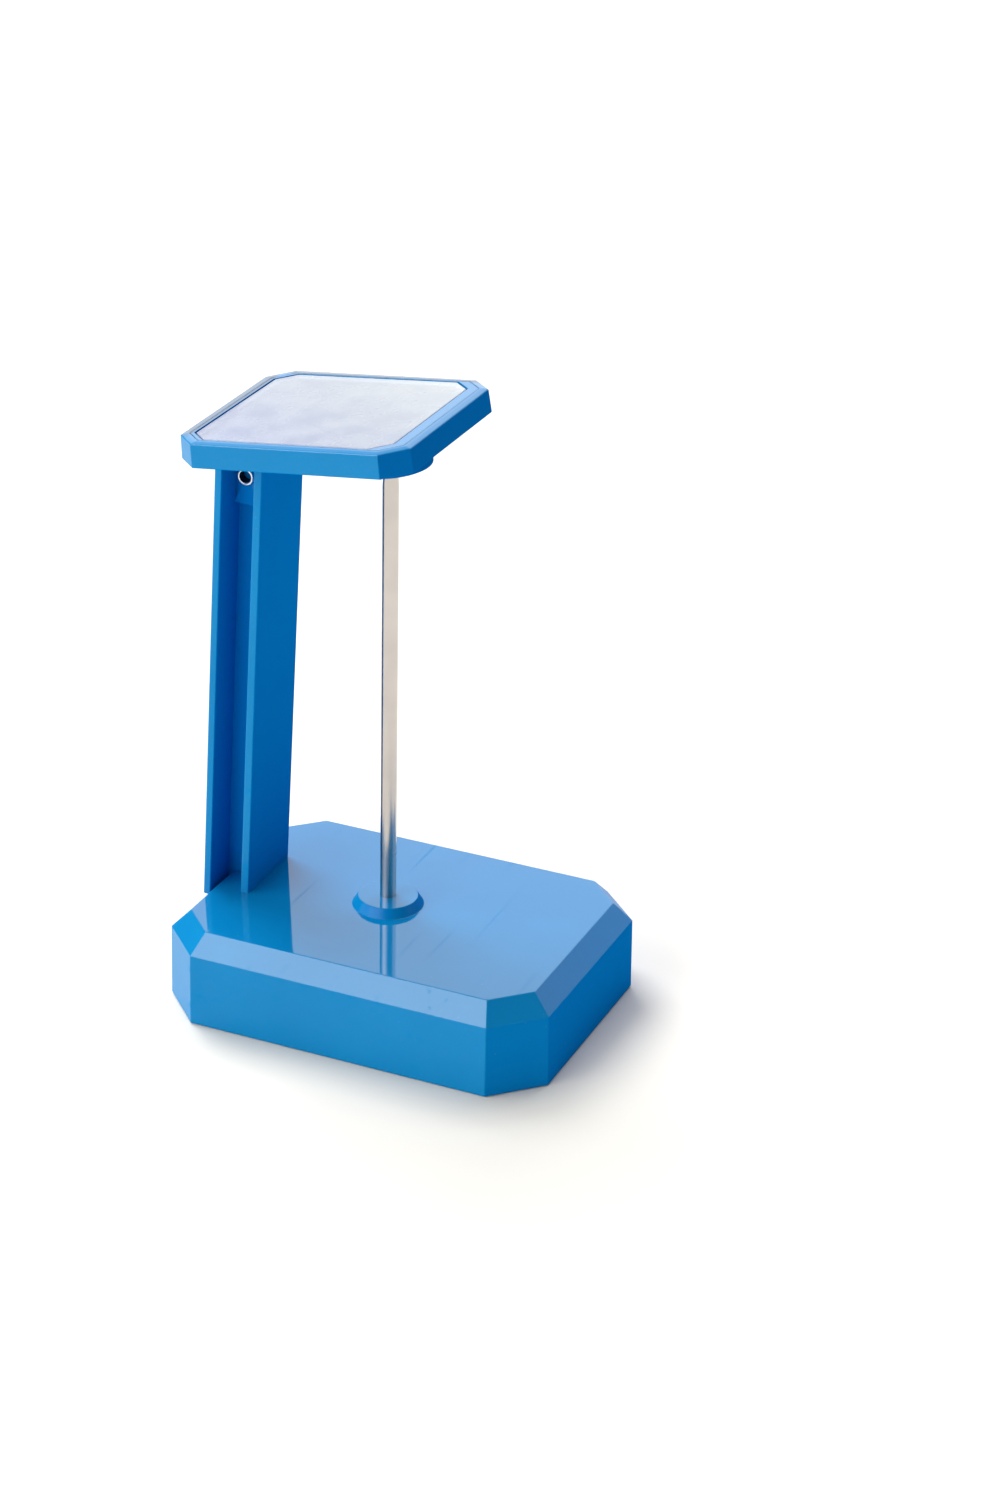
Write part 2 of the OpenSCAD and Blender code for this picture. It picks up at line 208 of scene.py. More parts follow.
def makeCamera():
    # Back points from the middle of the base's top to the camera, which is then moved sideways and up
    azimuth = view["azimuth"]
    elevation = view["elevation"]
    back = Vector((math.sin(azimuth) * math.cos(elevation),
                   -math.cos(azimuth) * math.cos(elevation), math.sin(elevation)))
    level = Vector((math.cos(azimuth), math.sin(azimuth), 0))
    rise = back.cross(level)
    right = level * math.cos(view["roll"]) + rise * math.sin(view["roll"])
    up = rise * math.cos(view["roll"]) - level * math.sin(view["roll"])
    data = bpy.data.cameras.new("photoCamera")
    data.sensor_fit = "VERTICAL"
    data.sensor_height = view["sensorHeight"]
    data.lens = view["lens"]
    data.shift_x = view["shiftX"]
    data.clip_start = view["clipStart"]
    data.clip_end = view["clipEnd"]
    camera = bpy.data.objects.new("photoCamera", data)
    bpy.context.scene.collection.objects.link(camera)
    place = Vector((0, 0, baseTop)) + back * view["distance"] + right * view["right"] + up * view["up"]
    turn = Matrix((right, up, back)).transposed()
    camera.matrix_world = Matrix.Translation(place) @ turn.to_4x4()
    bpy.context.scene.camera = camera


makeCamera()
print("camera placed")


# Node tools

def addNode(tree, kind, inputs=None, **settings):
    # An input gets a link where its value is another node's socket, and a fixed value otherwise
    node = tree.nodes.new(kind)
    for key, value in settings.items():
        setattr(node, key, value)
    for key, value in (inputs or {}).items():
        if isinstance(value, bpy.types.NodeSocket):
            tree.links.new(value, node.inputs[key])
        else:
            node.inputs[key].default_value = value
    return node


def combine(tree, operation, parts):
    # Maths nodes in a row, each with the result so far and the next part
    result = parts[0]
    for part in parts[1:]:
        result = addNode(tree, "ShaderNodeMath", {0: result, 1: part}, operation=operation).outputs[0]
    return result


def addUp(tree, *parts):
    return combine(tree, "ADD", parts)


def times(tree, *parts):
    return combine(tree, "MULTIPLY", parts)


def largest(tree, *parts):
    return combine(tree, "MAXIMUM", parts)


def rangeOf(tree, value, low, high, toLow=0, toHigh=1):
    node = addNode(tree, "ShaderNodeMapRange",
                   {"Value": value, "From Min": low, "From Max": high, "To Min": toLow, "To Max": toHigh})
    return node.outputs["Result"]


def blendColour(tree, factor, first, second):
    return addNode(tree, "ShaderNodeMix", {0: factor, 6: first, 7: second}, data_type="RGBA").outputs[2]


def noiseOf(tree, vector, scale, detail, roughness=0.5):
    node = addNode(tree, "ShaderNodeTexNoise",
                   {"Vector": vector, "Scale": scale, "Detail": detail, "Roughness": roughness})
    return node.outputs["Fac"]


def axisOf(tree, vector, axis):
    return addNode(tree, "ShaderNodeSeparateXYZ", {0: vector}).outputs[axis]


def dotWith(tree, vector, direction):
    node = addNode(tree, "ShaderNodeVectorMath", {0: vector, 1: direction}, operation="DOT_PRODUCT")
    return node.outputs["Value"]


def axisDistance(tree, place, across, centre):
    # Distance from an axis through centre. In across, 1 keeps a coordinate and 0 drops the axis's own.
    flat = addNode(tree, "ShaderNodeVectorMath", {0: place.outputs["Object"], 1: across},
                   operation="MULTIPLY")
    away = addNode(tree, "ShaderNodeVectorMath", {0: flat.outputs["Vector"], 1: centre},
                   operation="DISTANCE")
    return away.outputs["Value"]


def bumpFrom(tree, shader, height, distance, strength):
    bump = addNode(tree, "ShaderNodeBump", {"Height": height, "Distance": distance, "Strength": strength})
    tree.links.new(bump.outputs["Normal"], shader.inputs["Normal"])


# Marks that every material shares

markLook = {
    "cloudScale": 30.0,
    "cloudDetail": 4.0,
    "cloudRoughness": 0.55,
    "scratchScale": 400.0,
    "scratchTurns": (0.35, 1.9, 2.8),
    "scratchTilt": 0.6,
    "scratchStretch": (1.0, 0.03, 1.0),
    "scratchDetail": 2.0,
    "scratchRoughness": 0.7,
    "scratchRange": (0.69, 0.78),
    "speckRange": (0.10, 0.05),
    "speckClouds": (0.5, 0.7),
    "grainScale": 900.0,
    "grainDetail": 3.0,
}
scaleSockets = {
    "Cloud Scale": "cloudScale",
    "Scratch Scale": "scratchScale",
    "Grain Scale": "grainScale",
}


def surfaceMarksGroup():
    # Soft clouds, fine crossed scratches, dust specks and a height for the bump of a smooth surface
    look = markLook
    tree = bpy.data.node_groups.new("surfaceMarks", "ShaderNodeTree")
    sockets = tree.interface
    sockets.new_socket("Vector", in_out="INPUT", socket_type="NodeSocketVector")
    for name, value in scaleSockets.items():
        socket = sockets.new_socket(name, in_out="INPUT", socket_type="NodeSocketFloat")
        socket.default_value = look[value]
    for name in ("Clouds", "Scratches", "Specks", "Height"):
        sockets.new_socket(name, in_out="OUTPUT", socket_type="NodeSocketFloat")
    source = addNode(tree, "NodeGroupInput").outputs
    clouds = noiseOf(tree, source["Vector"], source["Cloud Scale"], look["cloudDetail"],
                     look["cloudRoughness"])
    lines = []
    for turn in look["scratchTurns"]:
        spun = addNode(tree, "ShaderNodeMapping",
                       {"Vector": source["Vector"], "Rotation": (turn, look["scratchTilt"] * turn, turn),
                        "Scale": look["scratchStretch"]})
        line = noiseOf(tree, spun.outputs["Vector"], source["Scratch Scale"], look["scratchDetail"],
                       look["scratchRoughness"])
        lines.append(rangeOf(tree, line, *look["scratchRange"]))
    # Specks: the middles of small cells, kept only where the clouds are dense
    cells = addNode(tree, "ShaderNodeTexVoronoi",
                    {"Vector": source["Vector"], "Scale": source["Scratch Scale"]}, feature="F1")
    specks = times(tree, rangeOf(tree, cells.outputs["Distance"], *look["speckRange"]),
                   rangeOf(tree, clouds, *look["speckClouds"]))
    grain = noiseOf(tree, source["Vector"], source["Grain Scale"], look["grainDetail"])
    addNode(tree, "NodeGroupOutput",
            {"Clouds": clouds, "Scratches": largest(tree, *lines), "Specks": specks, "Height": grain})
    return tree


surfaceMarks = surfaceMarksGroup()


def newMaterial(name, look):
    material = bpy.data.materials.new(name)
    material.use_nodes = True
    tree = material.node_tree
    place = addNode(tree, "ShaderNodeTexCoord")
    marks = addNode(tree, "ShaderNodeGroup", {"Vector": place.outputs["Object"]}, node_tree=surfaceMarks)
    for socket, value in scaleSockets.items():
        marks.inputs[socket].default_value = look.get(value, markLook[value])
    return material, tree, tree.nodes["Principled BSDF"], place, marks.outputs


# Blue plastic

# A mask goes from 0 to 1 between the two numbers of a pair. Where the name ends in Turn, they are dot
# products of the face's normal with a side or an axis.
blue = {
    "deep": (0.001, 0.179, 0.456, 1),
    "light": (0.003, 0.201, 0.498, 1),
    "cloudScale": 26,
    "scratchScale": 330,
    "grainScale": 1500,
    "cloudRange": (0.3, 0.7),
    # painted shade: the deeper blue of faces turned from the light and of the post's recess
    "shadeBlue": (0.001, 0.194, 0.590, 1),
    "lightSide": (-0.75, -0.45, 0.5),
    "litSideTurn": (-0.5, 0.2),
    "recessShadeWithin": (10.8 * mm, 9.8 * mm),     # from the middle, in Y
    "forwardTurn": (-0.6, -0.9),
    # painted shade colour for the cup under the head and the head's side turned from the light
    "dark": (0.001, 0.128, 0.430, 1),
    "belowHead": (10.4 * mm, 9.8 * mm),           # height over the pin
    "aboveCupEnd": (-10 * mm, -5 * mm),
    "beyondPost": (-30 * mm, -28 * mm),           # place in X
    "shadedSide": (0.9, -0.43, 0.0),
    "shadedTurn": (0.6, 0.85),
    "shadedShare": 0.85,
    # painted shade colour for the head's rim along its left and back sides
    "rimShadeGrey": (0.018, 0.090, 0.210, 1),
    "greyedLeft": (-46.1 * mm, -46.3 * mm),       # place in X
    "greyedLeftStart": (-24 * mm, -20 * mm),      # place in Y
    "greyedBack": (25.3 * mm, 25.5 * mm),
    "greyedAbove": (146 * mm, 147 * mm),          # place in Z
    "greyedTurn": (0.75, 0.85),
    "dust": (0.30, 0.42, 0.55, 1),
    "dustShare": 0.12,
    "polishedSide": (-0.42, -0.2, 0.86),
    "polishedTurn": (0.0, 0.8),
    "rubbedWithin": (9.2 * mm, 9.1 * mm),         # from the spike's axis
    "rubbedTurn": (0.95, 0.80),
    "rubbedPolish": 0.25,
    "scratchedCoat": 0.5,
    "scratchedRoughness": 0.12,
    "cloudedRoughness": 0.05,
    "sideRoughness": 0.42,
    "topRoughness": 0.30,
    "coatRoughness": 0.05,
    "coatIor": 1.6,
    "specular": 0.0,
    "grainDepth": 0.004 * mm,
    "grainStrength": 0.5,
}


def litSidePart(tree, place):
    # Painted light and shade: faces turned from the light get the deeper shade blue, and so do the faces that
    # look forwards between the post's flanges, as painted shade in that recess; faces towards the light keep
    # the lighter blue
    litSide = rangeOf(tree, dotWith(tree, place.outputs["Normal"], blue["lightSide"]), *blue["litSideTurn"])
    fromMiddle = addNode(tree, "ShaderNodeMath", {0: axisOf(tree, place.outputs["Object"], "Y")},
                         operation="ABSOLUTE").outputs[0]
    # painted shade in the recess between the post's flanges
    recessShade = times(tree, rangeOf(tree, fromMiddle, *blue["recessShadeWithin"]),
                      rangeOf(tree, axisOf(tree, place.outputs["Normal"], "Y"), *blue["forwardTurn"]))
    return times(tree, litSide, rangeOf(tree, recessShade, 0, 1, 1, 0))


def paintedShadePart(tree, place):
    # Painted shade: the cup below the head is painted darker, and so are the head's side and corner that are
    # turned from the light. Height is counted from the pin, square to the tilted head.
    fromPin = addNode(tree, "ShaderNodeVectorMath", {0: place.outputs["Object"], 1: tuple(pin)},
                      operation="SUBTRACT").outputs["Vector"]
    height = dotWith(tree, fromPin, (-math.sin(headTilt), 0, math.cos(headTilt)))
    cup = times(tree, rangeOf(tree, height, *blue["belowHead"]), rangeOf(tree, height, *blue["aboveCupEnd"]),
                rangeOf(tree, axisOf(tree, place.outputs["Object"], "X"), *blue["beyondPost"]))
    side = rangeOf(tree, dotWith(tree, place.outputs["Normal"], blue["shadedSide"]), *blue["shadedTurn"],
                   0, blue["shadedShare"])
    return largest(tree, cup, times(tree, side, rangeOf(tree, height, *blue["belowHead"][::-1])))


def rimShadeGreyPart(tree, place):
    # Painted shade: the rim of the head is painted greyer along its left and back sides, on faces that look
    # up
    x, y, z = (axisOf(tree, place.outputs["Object"], axis) for axis in "XYZ")
    left = times(tree, rangeOf(tree, x, *blue["greyedLeft"]), rangeOf(tree, y, *blue["greyedLeftStart"]))
    back = rangeOf(tree, y, *blue["greyedBack"])
    upwards = rangeOf(tree, axisOf(tree, place.outputs["Normal"], "Z"), *blue["greyedTurn"])
    return times(tree, largest(tree, left, back), upwards, rangeOf(tree, z, *blue["greyedAbove"]))


def polishedPart(tree, place):
    # Upward faces are polished, apart from the slope of the collar round the spike, which is rubbed
    polish = rangeOf(tree, dotWith(tree, place.outputs["Normal"], blue["polishedSide"]),
                     *blue["polishedTurn"])
    fromSpike = axisDistance(tree, place, (1, 1, 0), (spikeX, 0, 0))
    rubbed = times(tree, rangeOf(tree, fromSpike, *blue["rubbedWithin"]),
                   rangeOf(tree, axisOf(tree, place.outputs["Normal"], "Z"), *blue["rubbedTurn"]))
    return times(tree, polish, rangeOf(tree, rubbed, 0, 1, 1, blue["rubbedPolish"]))


def makeBluePlastic():
    # Moulded plastic: polished faces carry a clear coat, and upright ones are satin. Its colour also carries
    # painted light and shade: lit and shaded blues, painted shade under the head, and a greyer painted shade
    # on the head's rim
    material, tree, shader, place, marks = newMaterial("bluePlastic", blue)
    clouds = rangeOf(tree, marks["Clouds"], *blue["cloudRange"])
    colour = blendColour(tree, clouds, blue["deep"], blue["light"])
    # painted light and shade: lit and shaded copies of the blue
    colour = blendColour(tree, litSidePart(tree, place), blue["shadeBlue"], colour)
    # painted shade under the head and on its side turned from the light
    colour = blendColour(tree, paintedShadePart(tree, place), colour, blue["dark"])
    # painted shade on the head's left and back rim
    colour = blendColour(tree, rimShadeGreyPart(tree, place), colour, blue["rimShadeGrey"])
    colour = blendColour(tree, times(tree, marks["Specks"], blue["dustShare"]), colour, blue["dust"])
    tree.links.new(colour, shader.inputs["Base Color"])
    polish = polishedPart(tree, place)
    scratched = times(tree, marks["Scratches"], blue["scratchedCoat"])
    coat = addNode(tree, "ShaderNodeMath", {0: polish, 1: scratched}, operation="SUBTRACT", use_clamp=True)
    tree.links.new(coat.outputs[0], shader.inputs["Coat Weight"])
    rough = addUp(tree, rangeOf(tree, polish, 0, 1, blue["sideRoughness"], blue["topRoughness"]),
                  times(tree, marks["Scratches"], blue["scratchedRoughness"]),
                  rangeOf(tree, marks["Clouds"], *blue["cloudRange"],
                          -blue["cloudedRoughness"], blue["cloudedRoughness"]))
    tree.links.new(rough, shader.inputs["Roughness"])
    shader.inputs["Coat Roughness"].default_value = blue["coatRoughness"]
    shader.inputs["Coat IOR"].default_value = blue["coatIor"]
    shader.inputs["Specular IOR Level"].default_value = blue["specular"]
    bumpFrom(tree, shader, marks["Height"], blue["grainDepth"], blue["grainStrength"])
    return material


# Metals

metals = {
    "spikeSteel": {
        "bright": (0.58, 0.54, 0.515, 1),
        "tarnished": (0.47, 0.44, 0.425, 1),
        "roughness": 0.20,
        "lineScale": 2600,
        "stretch": (1, 1, 0.02),
    },
    "nickel": {
        "bright": (0.93, 0.93, 0.95, 1),
        "tarnished": (0.84, 0.84, 0.86, 1),
        "roughness": 0.34,
        "lineScale": 1500,
        "stretch": (1, 0.1, 1),
    },
    "zinc": {
        "bright": (0.68, 0.69, 0.71, 1),
        "tarnished": (0.50, 0.51, 0.53, 1),
        "roughness": 0.34,
        "lineScale": 1200,
        "stretch": (1, 1, 1),
    },
    "brass": {
        "bright": (0.78, 0.58, 0.26, 1),
        "tarnished": (0.62, 0.44, 0.18, 1),
        "roughness": 0.28,
        "lineScale": 1500,
        "stretch": (1, 1, 0.1),
    },
}
metalLook = {
    "cloudScale": 60,
    "scratchScale": 700,
    "tarnishRange": (0.35, 0.75),
    "lineDetail": 4.0,
    "lineRoughness": 0.6,
    "lineRange": (0.3, 0.7),
    "unevenness": 0.3,
    "scratchedRoughness": 0.1,
    "lineDepth": 0.004 * mm,
    "lineStrength": 0.4,
}
# painted shade inside the rivet's bore: where it starts and its colour
boreShade = {
    "within": (1.62 * mm, 1.5 * mm),
    "colour": (0.02, 0.03, 0.04, 1),
}


def makeMetal(name, metal):
    # Metal with fine lines drawn along one axis, and a slightly uneven tarnish
    look = metalLook
    material, tree, shader, place, marks = newMaterial(name, look)
    squeezed = addNode(tree, "ShaderNodeMapping",
                       {"Vector": place.outputs["Object"], "Scale": metal["stretch"]})
    drawn = noiseOf(tree, squeezed.outputs["Vector"], metal["lineScale"], look["lineDetail"],
                    look["lineRoughness"])
    tarnish = rangeOf(tree, marks["Clouds"], *look["tarnishRange"])
    colour = blendColour(tree, tarnish, metal["bright"], metal["tarnished"])
    tree.links.new(colour, shader.inputs["Base Color"])
    shader.inputs["Metallic"].default_value = 1.0
    rough = rangeOf(tree, drawn, *look["lineRange"], metal["roughness"] * (1 - look["unevenness"]),
                    metal["roughness"] * (1 + look["unevenness"]))
    rough = addUp(tree, rough, times(tree, marks["Scratches"], look["scratchedRoughness"]))
    tree.links.new(rough, shader.inputs["Roughness"])
    bumpFrom(tree, shader, drawn, look["lineDepth"], look["lineStrength"])
    return material


def paintBoreShade(material):
    # Painted shade inside the rivet's bore: dark where the pin's axis is near
    tree = material.node_tree
    shader = tree.nodes["Principled BSDF"]
    plated = shader.inputs["Base Color"].links[0].from_socket
    fromPin = axisDistance(tree, addNode(tree, "ShaderNodeTexCoord"), (1, 0, 1), (pin[0], 0, pin[2]))
    inside = rangeOf(tree, fromPin, *boreShade["within"])
    tree.links.new(blendColour(tree, inside, plated, boreShade["colour"]), shader.inputs["Base Color"])


# Dull finishes

dulls = {
    "blackPaint": {
        "dark": (0.012, 0.012, 0.013, 1),
        "light": (0.022, 0.022, 0.024, 1),
        "roughness": 0.38,
        "grainScale": 900,
        "grainDepth": 0.01 * mm,
    },
    "sawnIron": {
        "dark": (0.055, 0.052, 0.05, 1),
        "light": (0.11, 0.105, 0.10, 1),
        "roughness": 0.6,
        "grainScale": 700,
        "grainDepth": 0.05 * mm,
    },
    "blackRubber": {
        "dark": (0.012, 0.012, 0.012, 1),
        "light": (0.03, 0.03, 0.03, 1),
        "roughness": 0.75,
        "grainScale": 1600,
        "grainDepth": 0.02 * mm,
    },
    "whiteCard": {
        "dark": (0.54, 0.57, 0.70, 1),
        "light": (0.60, 0.63, 0.75, 1),
        "roughness": 0.65,
        "grainScale": 1200,
        "grainDepth": 0.01 * mm,
    },
}
dullLook = {
    "cloudScale": 70,
    "markRange": (0.3, 0.7),
    "unevenness": 0.06,
    "specular": 0.4,
    "grainStrength": 0.6,
}


def makeDull(name, dull):
    # Dull surface with an even grain: paint, sawn iron, rubber and card differ only in values
    look = dullLook
    material, tree, shader, place, marks = newMaterial(name, {**look, **dull})
    clouds = rangeOf(tree, marks["Clouds"], *look["markRange"])
    tree.links.new(blendColour(tree, clouds, dull["dark"], dull["light"]), shader.inputs["Base Color"])
    uneven = rangeOf(tree, marks["Height"], *look["markRange"], -look["unevenness"], look["unevenness"])
    tree.links.new(addUp(tree, uneven, dull["roughness"]), shader.inputs["Roughness"])
    shader.inputs["Specular IOR Level"].default_value = look["specular"]
    bumpFrom(tree, shader, marks["Height"], dull["grainDepth"], look["grainStrength"])
    return material


# Clear sheet over the label

clearFilm = {
    "dark": (0.38, 0.43, 0.62, 1),
    "pale": (0.48, 0.53, 0.70, 1),
    "cloudScale": 110,
    "scratchScale": 380,
    "cloudRange": (0.35, 0.68),
    # painted sheen: a paler colour towards the back right of the sheet
    "paintedSheen": (0.74, 0.79, 0.85, 1),
    "paintedSheenTowards": (14.0, 24.0, 0.0),
    "paintedSheenRange": (-0.95, 0.65),
    "paintedSheenWaves": 0.2,
    "paintedSheenMost": 0.95,
    "milkiness": 0.6,
    "roughRange": (0.3, 0.7),
    "roughness": (0.34, 0.22),
    "scratchedRoughness": 0.15,
    "bumpDepth": 0.02 * mm,
    "bumpStrength": 0.5,
}


def makeClearPlastic():
    # Clear sheet, gone milky and mottled, that still shows the card below it
    look = clearFilm
    material, tree, shader, place, marks = newMaterial("clearPlastic", look)
    clouds = rangeOf(tree, marks["Clouds"], *look["cloudRange"])
    mottled = blendColour(tree, clouds, look["dark"], look["pale"])
    # Painted sheen: the pale share grows from the front left to the back right of the sheet, standing in for
    # the reflection of a light at the back
    wavy = addUp(tree, dotWith(tree, place.outputs["Object"], look["paintedSheenTowards"]),
                 rangeOf(tree, marks["Clouds"], 0, 1, -look["paintedSheenWaves"], look["paintedSheenWaves"]))
    paintedSheen = rangeOf(tree, wavy, *look["paintedSheenRange"], 0, look["paintedSheenMost"])
    tree.links.new(blendColour(tree, paintedSheen, mottled, look["paintedSheen"]), shader.inputs["Base Color"])
    shader.inputs["Alpha"].default_value = look["milkiness"]
    rough = addUp(tree, rangeOf(tree, marks["Clouds"], *look["roughRange"], *look["roughness"]),
                  times(tree, marks["Scratches"], look["scratchedRoughness"]))
    tree.links.new(rough, shader.inputs["Roughness"])
    bumpFrom(tree, shader, marks["Clouds"], look["bumpDepth"], look["bumpStrength"])
    return material


finishes = {"bluePlastic": makeBluePlastic()}
finishes.update({name: makeMetal(name, metal) for name, metal in metals.items()})
finishes.update({name: makeDull(name, dull) for name, dull in dulls.items()})
finishes["clearPlastic"] = makeClearPlastic()
paintBoreShade(finishes["nickel"])
print("materials made")


# Base

base = {
    "cut": 11.6 * mm,
    "draft": 0.25 * mm,
    "bevelWidth": 4.7 * mm,
    "bevelHeight": 5.0 * mm,
    "wall": 2.4 * mm,
    "lowered": 0.6 * mm,          # the lower edge is this much below the CAD's
    "topStrip": 3 * mm,           # the top between its bevel and the one flat face in its middle
    "cornerRound": 0.6 * mm,
    "edgeRound": 0.45 * mm,
    "innerEdgeRound": 0.2 * mm,
    "collarFoot": 9.1 * mm,
    "collarTop": 7.6 * mm,
    "collarRound": 0.35 * mm,
    "collarFootRound": 0.3 * mm,
    "collarSkirt": 0.5 * mm,      # the collar runs on outwards, just below the top
    "skirtFall": 0.03 * mm,
    "skirtRound": 0.02 * mm,
    "collarSunk": 2 * mm,
    "boreFloor": 0.5,             # share of the spike's radius where the bore's floor begins
    "spikeGrip": 0.05 * mm,       # the bore is this much tighter than the spike
    "collarSegments": 120,
}


def makeBase():
    # An eight-sided ring is carried down the inside of the wall and up the outside. The profile gives
    # its distance out from the shoulder and its height, with small arcs at the edges.
    draft = base["draft"]
    halfLength = (baseHigh[0] - baseLow[0]) / 2 - draft
    halfWidth = (baseHigh[1] - baseLow[1]) / 2 - draft
    low = baseLow[2] - base["lowered"]
    shoulder = baseTop - base["bevelHeight"]
    wall = base["wall"]
    bevel = base["bevelWidth"]
    edge = base["edgeRound"]
    profile = filletLine(
        [(-bevel - wall, baseTop - wall), (-wall, shoulder), (draft - wall, low), (draft, low),
         (0, shoulder), (-bevel, baseTop), (-bevel - base["topStrip"], baseTop)],
        [0, 0, base["innerEdgeRound"], edge, edge, edge, 0], 5, False)
    out, height = profile[:, 0], profile[:, 1]
    rings = octagonRings(halfLength, halfWidth, base["cut"], out, base["cornerRound"])
    # Collar: (radius, height), from the skirt over the top and down beside the spike
    inner = spikeRadius - base["spikeGrip"]
    foot = base["collarFoot"]
    skirt = foot + base["collarSkirt"]
    sunk = baseTop - base["collarSunk"]
    collar = filletLine(
        [(spikeRadius * base["boreFloor"], sunk), (inner, sunk), (inner, baseHigh[2]),
         (base["collarTop"], baseHigh[2]), (foot, baseTop), (skirt, baseTop - base["skirtFall"]),
         (skirt, sunk)],
        [0, 0, 0, base["collarRound"], base["collarFootRound"], base["skirtRound"], 0], 6, False)[::-1]
    neck = turned(lathe(collar, base["collarSegments"]), Matrix.Translation((spikeX, 0, 0)))
    makePiece("baseShell", [tube(withHeight(rings, height)), neck], finishes["bluePlastic"], "stand",
              ["base_shell"])


makeBase()


# Post

post = {
    "width": 12.5 * mm,
    "depth": 22.4 * mm,
    "flange": 2.2 * mm,
    "outerFlange": 1.65 * mm,
    "proud": 0.3 * mm,            # the outer flange stands this far out of the width
    "web": 2.4 * mm,
    "height": 119.2 * mm,
    "pinDown": 8.2 * mm,          # from the top
    "pinIn": 4.45 * mm,           # from the outer side
    "slotHalf": 2.0 * mm,         # half the slot that the head's lug turns in
    "cheek": 1.6 * mm,
    "slotBelowPin": 6.3 * mm,
    "forkBelowPin": 7.4 * mm,
    "rivetHole": 1.77 * mm,
    "sunk": 3.0 * mm,             # the foot goes this far below the base's top
    "round": 0.3 * mm,
    "hiddenRound": 0.02 * mm,
    "blockCorner": 0.05 * mm,
    "overlap": 0.2 * mm,          # web and fork run this far into the flanges
    "cheekDown": 0.05 * mm,       # the cheeks end this far below the flanges
    "blockInside": 0.001 * mm,    # the fork's block stays this far inside the cheeks' faces
}
postLeft = pin[0] - (post["pinIn"] * math.cos(postLean)
                     + (post["height"] - post["pinDown"]) * math.sin(postLean))


def pierced(left, right, down, up, hole, low, high, samples=96):
    # Plate round a hole: each ray from the hole's centre runs from the hole's edge to the plate's edge,
    # at the smallest of the four distances to its sides. The section runs round the plate's thickness.
    corners = np.array(rectangle(left, right, down, up))
    angle = np.concatenate([np.linspace(0, 2 * math.pi, samples, endpoint=False),
                            np.arctan2(corners[:, 1], corners[:, 0]) % (2 * math.pi)])
    angle = np.unique(np.round(angle, 9))
    ray = np.stack([np.cos(angle), np.sin(angle)], -1)
    small = 1e-9    # stands in for zero where a ray runs along an axis
    steep = np.where(np.abs(ray) < small, small, ray)
    reachX = np.where(ray[:, 0] > 0, right, left) / steep[:, 0]
    reachY = np.where(ray[:, 1] > 0, up, down) / steep[:, 1]
    inner = ray * hole
    outer = ray * np.minimum(np.abs(reachX), np.abs(reachY))[:, None]
    section = np.stack([inner, inner, outer, outer])
    return tube(withHeight(section, np.array([high, low, low, high])), loop=True)


def makePost():
    # Two flanges, a web between them and a fork on top, in a frame that leans about the foot
    half = post["depth"] / 2
    low = -post["sunk"]
    high = post["height"]
    pinUp = high - post["pinDown"]
    slot = post["slotHalf"]
    slotFloor = pinUp - post["slotBelowPin"]
    forkFloor = pinUp - post["forkBelowPin"]
    forkHalf = slot + post["cheek"]
    edge = post["round"]
    hidden = post["hiddenRound"]
    slotted = [(-half, low), (half, low), (half, high), (slot, high), (slot, slotFloor),
               (-slot, slotFloor), (-slot, high), (-half, high)]
    outerFlange = softPrism(slotted, edge, -post["proud"], post["outerFlange"], edge)
    innerFlange = softPrism(rectangle(-half, half, low, high), edge, post["width"] - post["flange"],
                            post["width"], edge)
    shells = [turned(outerFlange, thickAlongX), turned(innerFlange, thickAlongX)]
    left = post["outerFlange"] - post["overlap"]
    right = post["width"] - post["flange"] + post["overlap"]
    web = softPrism(rectangle(left, right, low, slotFloor), hidden, -post["web"] / 2, post["web"] / 2, hidden)
    forkBlock = softPrism(rectangle(left, right, forkFloor, slotFloor), post["blockCorner"],
                          post["blockInside"] - forkHalf, forkHalf - post["blockInside"], hidden)
    shells += [turned(web, thickAlongY), turned(forkBlock, thickAlongY)]
    for inside, outside in ((-forkHalf, -slot), (slot, forkHalf)):
        cheek = pierced(left - post["pinIn"], right - post["pinIn"], -post["forkBelowPin"],
                        post["pinDown"] - post["cheekDown"], post["rivetHole"], inside, outside)
        shells.append(turned(cheek, Matrix.Translation((post["pinIn"], 0, pinUp)) @ thickAlongY))
    lean = Matrix.Translation((postLeft, 0, baseTop)) @ Matrix.Rotation(postLean, 4, "Y")
    makePiece("postFrame", [turned(shell, lean) for shell in shells], finishes["bluePlastic"], "stand",
              ["post"])


makePost()


# Hinge rivet

rivet = {
    "bore": 1.45 * mm,
    "tube": 1.75 * mm,
    "lip": 0.4 * mm,
    "reach": 3.6 * mm,
    "segments": 64,
}


def makeRivet():
    # A tube along Y whose two ends are rolled outwards into half-round lips: (radius, place on the axis)
    lip = rivet["lip"]
    reach = rivet["reach"]
    turn = np.linspace(-0.5 * math.pi, math.pi, 14)
    lipOut = np.stack([rivet["bore"] + lip + lip * np.cos(turn), reach + lip + lip * np.sin(turn)], -1)
    lipBack = lipOut[::-1] * (1, -1)
    profile = np.concatenate([[(rivet["tube"], reach)], lipOut, [(rivet["bore"], 0.0)], lipBack,
                              [(rivet["tube"], -reach)]])
    place = Matrix.Translation(pin) @ Matrix.Rotation(math.pi / 2, 4, "X")
    shell = turned(lathe(profile, rivet["segments"], loop=True), place)
    makePiece("hingeRivet", [shell], finishes["nickel"], "stand", ["hinge_rivet"])


makeRivet()


# Spike

spike = {
    "pointLength": 11 * mm,
    "tip": 0.15 * mm,
    "shoulder": 24 * mm,
    "tailBevel": 0.8 * mm,
    "smallRound": 0.1 * mm,
    "core": 0.01 * mm,
    "segments": 64,
}


